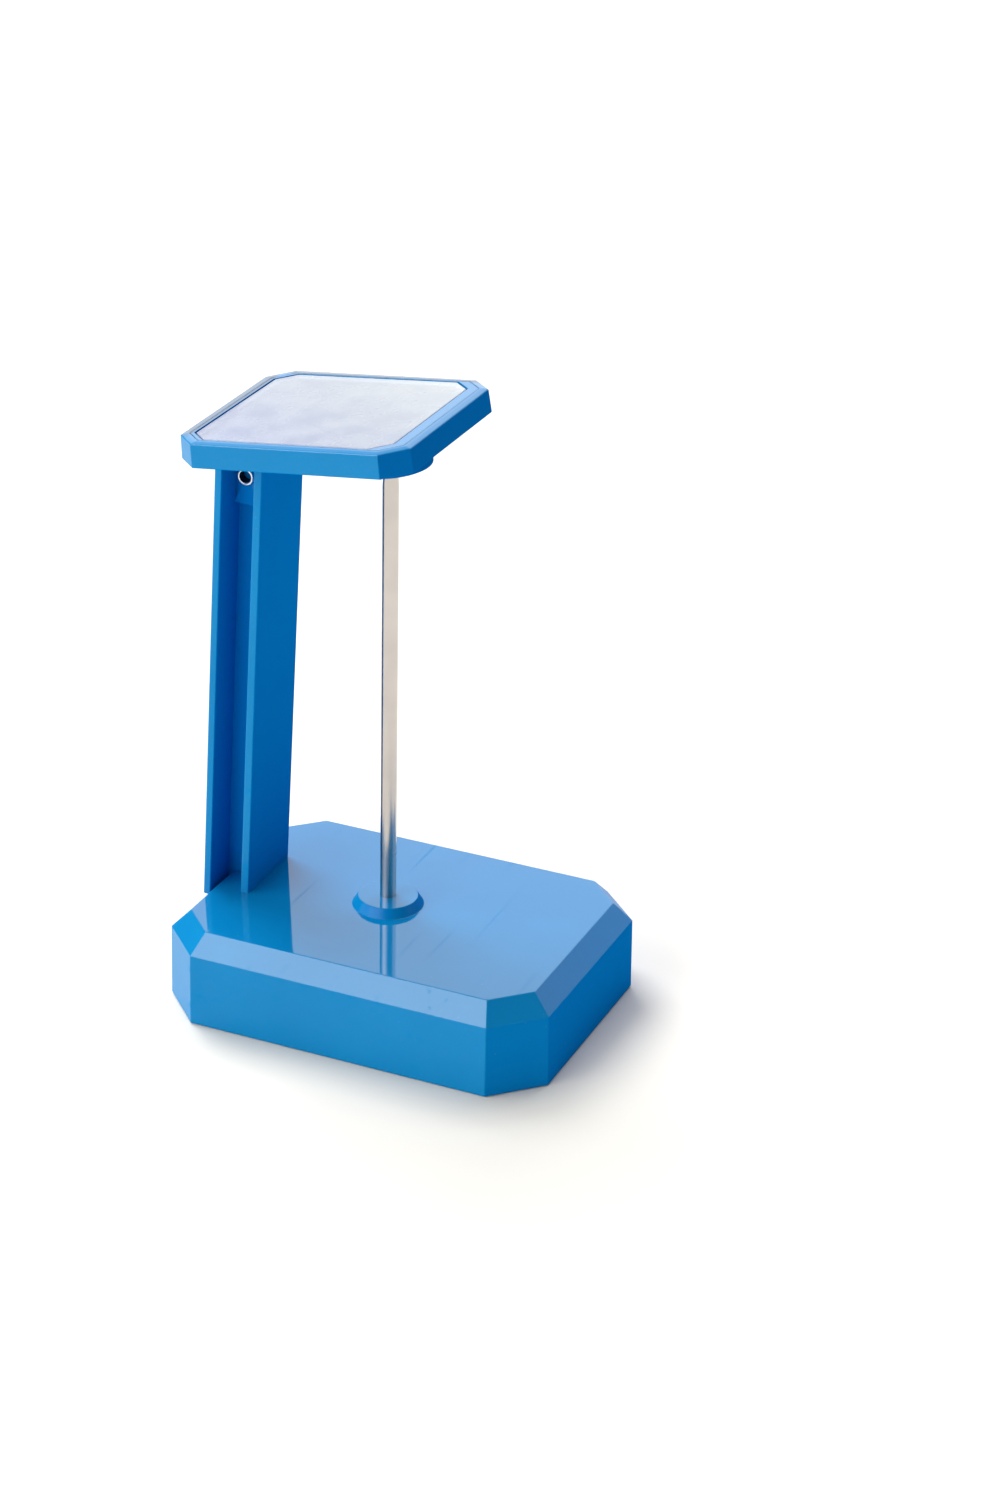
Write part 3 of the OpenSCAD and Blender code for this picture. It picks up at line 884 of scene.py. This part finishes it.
def makeSpike():
    # A straight shaft and a cone, joined by a long arc, turned about the axis: (radius, height)
    small = spike["smallRound"]
    steps = 14
    line = [(spike["core"], spikeLow[2]), (spikeRadius - spike["tailBevel"], spikeLow[2]),
            (spikeRadius, spikeLow[2] + spike["tailBevel"]),
            (spikeRadius, spikeHigh[2] - spike["pointLength"]),
            (spike["tip"], spikeHigh[2]), (spike["core"], spikeHigh[2])]
    profile = filletLine(line, [0, small, small, spike["shoulder"], small, 0], steps, False)
    profile = profile[steps - 1:1 - steps]    # the two ends keep one point each
    shell = turned(lathe(profile, spike["segments"]), Matrix.Translation((spikeX, 0, 0)))
    makePiece("paperSpike", [shell], finishes["spikeSteel"], "stand", ["spike"])


makeSpike()


# Head and label, worked out in a level frame about the pin and then tilted

head = {
    "length": 60.8 * mm,
    "width": 55.6 * mm,
    "cut": 5.8 * mm,
    "over": 5.9 * mm,             # from the pin back to the left side
    "up": 10.5 * mm,
    "height": 6.3 * mm,
    "rimSlope": 1.7 * mm,
    "rimDrop": 0.4 * mm,
    "rimRound": 0.45 * mm,
    "rimCurve": 5 * mm,
    "rimFlat": 0.3 * mm,
    "raisedOver": 0.25,           # share of the head over which the left and back edges rise again
    "raisedBy": 0.85,             # and by how much of the fall
    "raisedDepth": 1.5 * mm,      # how far down the outside that reaches
    "draft": 0.3 * mm,
    "wall": 2.0 * mm,
    "floor": 1.6 * mm,
    "cornerRound": 0.5 * mm,
    "edgeRound": 0.3 * mm,
    "innerEdgeRound": 0.15 * mm,
    "rimLeft": 3.1 * mm,
    "rimRight": 4.8 * mm,
    "rimSide": 2.6 * mm,
    "labelCut": 4.6 * mm,
    "recessLip": 0.15 * mm,
    "recessStrip": 0.5 * mm,
    "recessRounds": [0, 0.1 * mm, 0.05 * mm, 0],
    "overlap": 0.5 * mm,          # cup, lug and ribs run this far into the floor
    "lugHalf": 3.0 * mm,
    "lugThick": 3.6 * mm,
    "lugRounds": [2.9 * mm, 2.9 * mm, 0.1 * mm, 0.1 * mm],
    "lugSteps": 8,
    "rib": 1.6 * mm,
    "ribUp": 0.8 * mm,
    "ribShort": 1 * mm,           # the cross ribs end this far inside the outline
    "ribOffBore": 0.3 * mm,       # and the long one this far before the cup's bore
    "smallRound": 0.1 * mm,
    "crossRibs": (-0.2, 0.4),     # places from the middle, as shares of the length
    "cupRadius": 10.3 * mm,
    "cupWall": 1.8 * mm,
    "cupDrop": 6.8 * mm,
    "cupRound": 0.5 * mm,
    "cupSegments": 96,
}
label = {
    "card": 0.3 * mm,
    "window": 1.3 * mm,
    "proud": 0.6 * mm,            # of the window in the CAD, which sets the depth of the recess
    "sunk": 0.05 * mm,
    "gap": 0.45 * mm,
    "cardCut": 4.33 * mm,
    "cardCorner": 0.5 * mm,
    "cardUnder": 0.01 * mm,
    "cardOver": 0.03 * mm,
    "windowCorner": 0.6 * mm,
    "windowEdge": 0.15 * mm,
    "windowStrip": 1 * mm,
    "windowRounds": [0, 0.05 * mm, 0.12 * mm, 0.12 * mm, 0],
}
headMiddle = head["length"] / 2 - head["over"]
headTop = head["up"] + head["height"]
recessFloor = headTop + label["proud"] - label["window"] - label["card"]
cavityTop = recessFloor - head["floor"]
labelHalfLength = (head["length"] - head["rimLeft"] - head["rimRight"]) / 2
labelHalfWidth = head["width"] / 2 - head["rimSide"]
labelMiddle = headMiddle + (head["rimLeft"] - head["rimRight"]) / 2
headPlace = Matrix.Translation(pin) @ Matrix.Rotation(-headTilt, 4, "Y")
cupX = ((spikeX - pin[0]) + (head["up"] - head["cupDrop"]) * math.sin(headTilt)) / math.cos(headTilt)


def makeTray():
    # Rings run down the inside of the wall, round its lower edge, up the outside, over the rim and down
    # into the label's recess. The rim falls off towards its outer edge, in a flat curve.
    halfLength = head["length"] / 2
    halfWidth = head["width"] / 2
    wall = head["wall"]
    profile = filletLine(
        [(-wall, cavityTop), (-wall, head["up"]), (head["draft"], head["up"]), (0, headTop - head["rimDrop"]),
         (-head["rimSlope"], headTop), (-head["rimSlope"] - head["rimFlat"], headTop)],
        [0, head["innerEdgeRound"], head["edgeRound"], head["rimRound"], head["rimCurve"], 0], 8, False)
    out, height = profile[:, 0], profile[:, 1]
    outside = octagonRings(halfLength, halfWidth, head["cut"], out, head["cornerRound"])
    # Towards the left and the back the fall fades out, so the edge rises there
    share = np.minimum((outside[..., 1] + halfWidth) / (2 * head["raisedOver"] * halfWidth),
                       (halfLength - outside[..., 0]) / (2 * head["raisedOver"] * halfLength))
    fallen = np.minimum(headTop - height, head["rimDrop"])
    fallen = np.where(height > headTop - head["raisedDepth"], fallen, 0)
    outside = withHeight(outside, height, headMiddle)
    outside[..., 2] += head["raisedBy"] * np.clip(share, 0, 1) * fallen[:, None]
    recess = filletLine(
        [(head["recessLip"], headTop), (0, headTop), (0, recessFloor), (-head["recessStrip"], recessFloor)],
        head["recessRounds"], 5, False)
    out, height = recess[:, 0], recess[:, 1]
    inside = octagonRings(labelHalfLength, labelHalfWidth, head["labelCut"], out, head["cornerRound"])
    inside = withHeight(inside, height, labelMiddle)
    return tube(np.concatenate([outside, inside]))


def makeHead():
    # The tray, the cup over the spike's point, the lug on the pin and three ribs
    rootTop = cavityTop + head["overlap"]
    cupOut = head["cupRadius"]
    cupIn = cupOut - head["cupWall"]
    cupLow = head["up"] - head["cupDrop"]
    cupLine = filletLine([(cupIn, rootTop), (cupIn, cupLow), (cupOut, cupLow), (cupOut, rootTop)],
                         [0, head["cupRound"], head["cupRound"], 0], 6, False)
    cup = turned(lathe(cupLine, head["cupSegments"], loop=True), Matrix.Translation((cupX, 0, 0)))
    lugHalf = head["lugHalf"]
    lugLine = rectangle(-lugHalf, lugHalf, -lugHalf, rootTop)
    lug = softPrism(lugLine, head["lugRounds"], -head["lugThick"] / 2, head["lugThick"] / 2,
                    head["smallRound"], head["lugSteps"])
    half = head["rib"] / 2
    reach = head["width"] / 2 - head["ribShort"]
    ribLines = [rectangle(lugHalf - head["overlap"], cupX - cupIn - head["ribOffBore"], -half, half)]
    for place in head["crossRibs"]:
        x = headMiddle + place * head["length"]
        ribLines.append(rectangle(x - half, x + half, -reach, reach))
    small = head["smallRound"]
    ribs = [softPrism(line, small, head["up"] + head["ribUp"], rootTop, small) for line in ribLines]
    shells = [turned(shell, headPlace) for shell in [makeTray(), cup, turned(lug, thickAlongY)] + ribs]
    makePiece("headShell", shells, finishes["bluePlastic"], "head", ["head_shell"])


def makeLabel():
    # Card and clear sheet are flat eight-sided prisms, and the sheet's top edge is rounded
    gap = label["gap"]
    bottom = recessFloor + label["card"]
    card = octagonRings(labelHalfLength - gap, labelHalfWidth - gap, label["cardCut"], np.zeros(2),
                        label["cardCorner"])
    levels = np.array([recessFloor + label["cardUnder"], bottom - label["cardOver"]])
    card = turned(tube(withHeight(card, levels, labelMiddle)), headPlace)
    makePiece("labelCard", [card], finishes["whiteCard"], "head", ["label_card"])
    top = headTop - label["sunk"]
    edge = label["windowEdge"]
    strip = label["windowStrip"]
    line = filletLine([(-strip, bottom), (0, bottom), (0, top - edge), (-edge, top), (-strip, top)],
                      label["windowRounds"], 5, False)
    sheet = octagonRings(labelHalfLength, labelHalfWidth, head["labelCut"], line[:, 0] - gap,
                         label["windowCorner"])
    sheet = turned(tube(withHeight(sheet, line[:, 1], labelMiddle)), headPlace)
    makePiece("labelWindow", [sheet], finishes["clearPlastic"], "head", ["label_window"])


makeHead()
makeLabel()


# Finishes of the CAD nodes, also of those that a piece replaces

nodeFinishes = {
    "bluePlastic": ["base_shell", "post", "head_shell"],
    "nickel": ["hinge_rivet"],
    "spikeSteel": ["spike"],
    "whiteCard": ["label_card"],
    "clearPlastic": ["label_window"],
    "blackPaint": ["base_plate"],
    "sawnIron": ["base_weight"],
    "zinc": ["plate_screws", "post_screws", "spike_washer", "spike_nut"],
    "brass": ["spike_bush"],
    "blackRubber": ["tip_pad"] + [name for name in frame["nodes"] if name.startswith("foot_")],
}
for finish, names in nodeFinishes.items():
    for name in names:
        mesh = frame["nodes"][name].data
        mesh.materials.clear()
        mesh.materials.append(finishes[finish])
print("finishes set")


# Floor, lamps and background

studio = {
    "floorSize": 12.0,
    "floorColour": (0.80, 0.785, 0.775, 1),
    "floorRoughness": 0.9,
    "worldFill": 0.29,
    "fillColour": (0.98, 0.985, 1.0, 1),
    "backdrop": 1.0,
    "mirrored": 1.65,
    "boxBright": 4.1,
    "darkest": 0.05,
    "darkAboveShare": 0.7,
}
# Parts of the studio that mirror rays see: a direction, and the range over which each fades in
mirroredZones = {
    "softBox": ((-0.333, -0.626, 0.706), (0.87, 0.95)),
    "darkFront": ((0.56, -0.37, 0.742), (0.74, 0.88)),
    "darkLeft": ((-0.916, 0.266, 0.299), (0.84, 0.95)),
    "darkAbove": ((-0.38, 0.25, 0.89), (0.80, 0.94)),
}
lamps = {
    "frontLamp": {
        "azimuth": 44,
        "elevation": 9,
        "strength": 4.7,
        "width": 84,
        "colour": (1.0, 0.985, 0.84),
    },
    "topLamp": {
        "azimuth": 122,
        "elevation": 52,
        "strength": 2.72,
        "width": 34,
        "colour": (1.0, 0.995, 0.955),
    },
    "backLamp": {
        "azimuth": 180,
        "elevation": 60,
        "strength": 0.9,
        "width": 36,
        "colour": (1.0, 1.0, 1.0),
    },
}


def makeFloor():
    half = studio["floorSize"] / 2
    corners = [(x, y, 0) for x, y in rectangle(-half, half, -half, half)]
    mesh = bpy.data.meshes.new("floor")
    mesh.from_pydata(corners, [], [(0, 1, 2, 3)])
    floor = bpy.data.objects.new("floor", mesh)
    bpy.context.scene.collection.objects.link(floor)
    material = bpy.data.materials.new("floorWhite")
    material.use_nodes = True
    shader = material.node_tree.nodes["Principled BSDF"]
    shader.inputs["Base Color"].default_value = studio["floorColour"]
    shader.inputs["Roughness"].default_value = studio["floorRoughness"]
    shader.inputs["Specular IOR Level"].default_value = 0.0
    mesh.materials.append(material)


def makeLamp(name, look):
    # Far, wide and soft lamp. Azimuth is counted in degrees from the front towards the object's left.
    data = bpy.data.lights.new(name, "SUN")
    data.energy = look["strength"]
    data.angle = math.radians(look["width"])
    data.color = look["colour"]
    lamp = bpy.data.objects.new(name, data)
    bpy.context.scene.collection.objects.link(lamp)
    azimuth = math.radians(look["azimuth"])
    elevation = math.radians(look["elevation"])
    towards = Vector((-math.sin(azimuth) * math.cos(elevation), -math.cos(azimuth) * math.cos(elevation),
                      math.sin(elevation)))
    lamp.visible_glossy = False    # mirror rays see the studio of makeWorld instead
    lamp.matrix_world = Matrix.Translation(towards) @ towards.to_track_quat("Z", "Y").to_matrix().to_4x4()


def makeWorld():
    # White background for camera and glass rays, and an even fill. Mirror rays see a soft box and the
    # dark parts of the studio instead.
    world = bpy.data.worlds.new("studio")
    bpy.context.scene.world = world
    world.use_nodes = True
    tree = world.node_tree
    shade = tree.nodes["Background"]
    ray = addNode(tree, "ShaderNodeLightPath").outputs
    fill = blendColour(tree, ray["Is Diffuse Ray"], (1, 1, 1, 1), studio["fillColour"])
    tree.links.new(fill, shade.inputs["Color"])
    direction = addNode(tree, "ShaderNodeTexCoord").outputs["Generated"]
    zones = {name: rangeOf(tree, dotWith(tree, direction, side), *fade)
             for name, (side, fade) in mirroredZones.items()}
    dark = largest(tree, zones["darkFront"], zones["darkLeft"],
                   times(tree, zones["darkAbove"], studio["darkAboveShare"]))
    mirrored = addUp(tree, rangeOf(tree, dark, 0, 1, studio["mirrored"], studio["darkest"]),
                     times(tree, zones["softBox"], studio["boxBright"] - studio["mirrored"]))
    seen = largest(tree, ray["Is Camera Ray"], ray["Is Glossy Ray"], ray["Is Transmission Ray"])
    strength = rangeOf(tree, seen, 0, 1, studio["worldFill"], studio["backdrop"])
    mix = addNode(tree, "ShaderNodeMix", {0: ray["Is Glossy Ray"], 2: strength, 3: mirrored},
                  data_type="FLOAT")
    tree.links.new(mix.outputs[0], shade.inputs["Strength"])


makeFloor()
makeWorld()
for name, look in lamps.items():
    makeLamp(name, look)
bpy.context.scene.view_settings.view_transform = "Standard"

print("scene ready")
